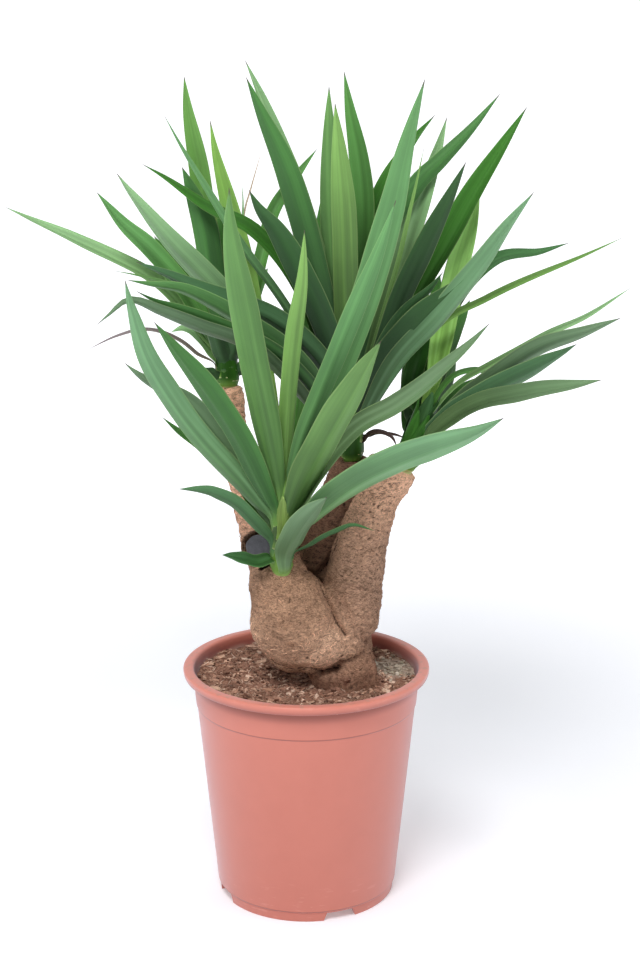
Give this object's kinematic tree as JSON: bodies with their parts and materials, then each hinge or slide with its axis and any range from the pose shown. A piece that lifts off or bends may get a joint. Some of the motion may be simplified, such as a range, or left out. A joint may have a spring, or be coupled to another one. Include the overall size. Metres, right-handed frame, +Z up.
{
  "type": "potted yucca",
  "caption": "Spineless yucca in a terracotta coloured nursery pot, with a gnarled trunk, waxed cut ends and heads of sword leaves.",
  "frame": {"origin": "on the floor, on the pot's axis", "axes": "+Z up along the pot's axis; the side that faces -Y is the front, with the front shoot; +X is to the right of a viewer there"},
  "size_m": [0.5844, 0.4411, 0.8065],
  "materials": {
    "terracotta_plastic": "moulded plastic, satin",
    "potting_soil": "damp potting mix with bark chips",
    "bark": "rough fibrous bark",
    "black_wax": "brushed sealing wax, satin",
    "leaf": "waxy leaf with fine lengthwise stripes"
  },
  "bodies": {
    "root": {"pot": "terracotta_plastic", "soil": "potting_soil", "trunk": "bark", "wax_front": "black_wax", "wax_right": "black_wax", "front_shoot": "leaf", "left_head": "leaf", "middle_head": "leaf", "right_head": "leaf"}
  },
  "joints": []
}
